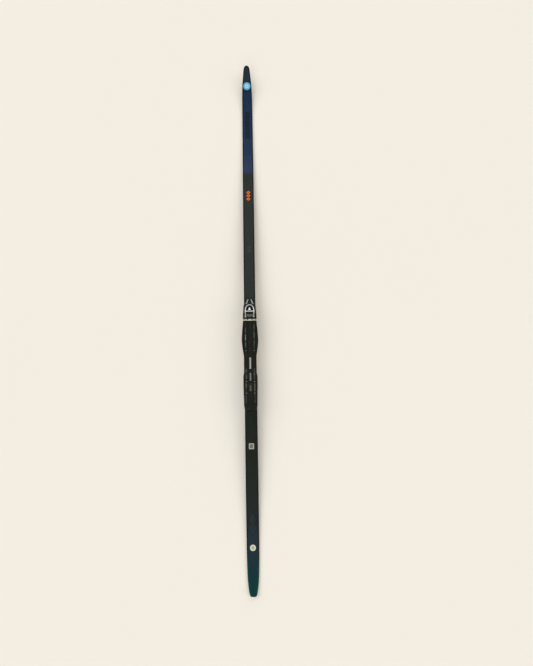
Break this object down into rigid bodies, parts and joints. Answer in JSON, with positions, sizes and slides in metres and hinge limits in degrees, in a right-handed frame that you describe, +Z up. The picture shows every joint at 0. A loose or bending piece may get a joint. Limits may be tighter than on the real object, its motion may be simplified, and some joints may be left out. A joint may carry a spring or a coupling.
{
  "type": "cross country ski",
  "caption": "Long narrow cross country ski with an arched base, upturned tip and a toe binding on a sliding plate, with a lift lever, spring jaw and shift lock.",
  "frame": {"origin": "on the ground, midway between tail and tip, on the ski's centre line", "axes": "+Y runs from the tail to the tip, +X is across the ski to the right, +Z is up"},
  "size_m": [0.06, 2.07, 0.0714],
  "materials": {
    "base": "sintered running base, faint stone-ground grain",
    "grip_skin": "short directional pile",
    "laminate": "fibre laminate edge",
    "core": "light foam and wood core",
    "sidewall": "ground plastic sidewall",
    "spacer": "moulded end filler",
    "insert": "plain plate",
    "top_sheet": "satin printed sheet, navy at the tip, charcoal in the middle, dark teal at the tail",
    "badge": "cyan printed badge",
    "label": "pale grey printed label",
    "sticker": "cream sticker with a khaki centre",
    "binding_base": "fine moulded texture",
    "housing": "satin black moulding",
    "foot_plate": "fine moulded texture",
    "latch": "fine moulded texture with a printed scale",
    "flexor": "moulded rubber",
    "silver": "bright satin",
    "steel": "stamped and polished",
    "spring_steel": "wire",
    "screw": "countersunk head"
  },
  "bodies": {
    "ski": {"base_sheet": "base", "skin_left": "grip_skin", "skin_right": "grip_skin", "lower_laminate": "laminate", "core": "core", "sidewall_left": "sidewall", "sidewall_right": "sidewall", "tip_spacer": "spacer", "tail_spacer": "spacer", "binding_insert": "insert", "upper_laminate": "laminate", "top_sheet": "top_sheet", "tip_badge": "badge", "size_label": "label", "tail_sticker": "sticker", "mounting_plate": "binding_base", "plate_screw_1": "screw", "plate_screw_2": "screw", "plate_screw_3": "screw", "plate_screw_4": "screw", "plate_screw_5": "screw"},
    "carriage": {"toe_housing": "housing", "forefoot_plate": "foot_plate", "link_plate": "foot_plate", "shift_block": "foot_plate", "heel_plate": "foot_plate", "heel_cap": "foot_plate", "bar_seat": "steel", "flexor": "flexor", "jaw_spring": "spring_steel", "latch_pin": "steel", "latch_spring": "spring_steel", "seat_screw_left": "screw", "seat_screw_right": "screw", "lever_pin_left": "steel", "lever_pin_right": "steel"},
    "lever": {"lever_frame": "silver", "lever_pad": "housing"},
    "jaw": {"jaw": "steel"},
    "latch": {"shift_latch": "latch"}
  },
  "joints": [
    {"name": "binding_shift", "type": "slide", "parent": "ski", "child": "carriage", "axis": [0, 1, 0], "range_m": [-0.012, 0.012]},
    {"name": "lever_lift", "type": "hinge", "parent": "carriage", "child": "lever", "pos_m": [0, -0.09, 0.068], "axis": [1, 0, 0], "range_deg": [0, 70]},
    {"name": "jaw_slide", "type": "slide", "parent": "carriage", "child": "jaw", "axis": [0, 1, 0], "range_m": [0, 0.00807], "deforming": ["jaw_spring"]},
    {"name": "latch_lift", "type": "hinge", "parent": "carriage", "child": "latch", "pos_m": [0, -0.3425, 0.0599], "axis": [-1, 0, 0], "range_deg": [0, 8], "stiffness_Nm_per_rad": 0.2, "springref_deg": -5.73, "deforming": ["latch_spring"]}
  ],
  "couplings": [
    {"joint": "jaw_slide", "follows": "lever_lift", "m_per_rad": 0.0066}
  ]
}
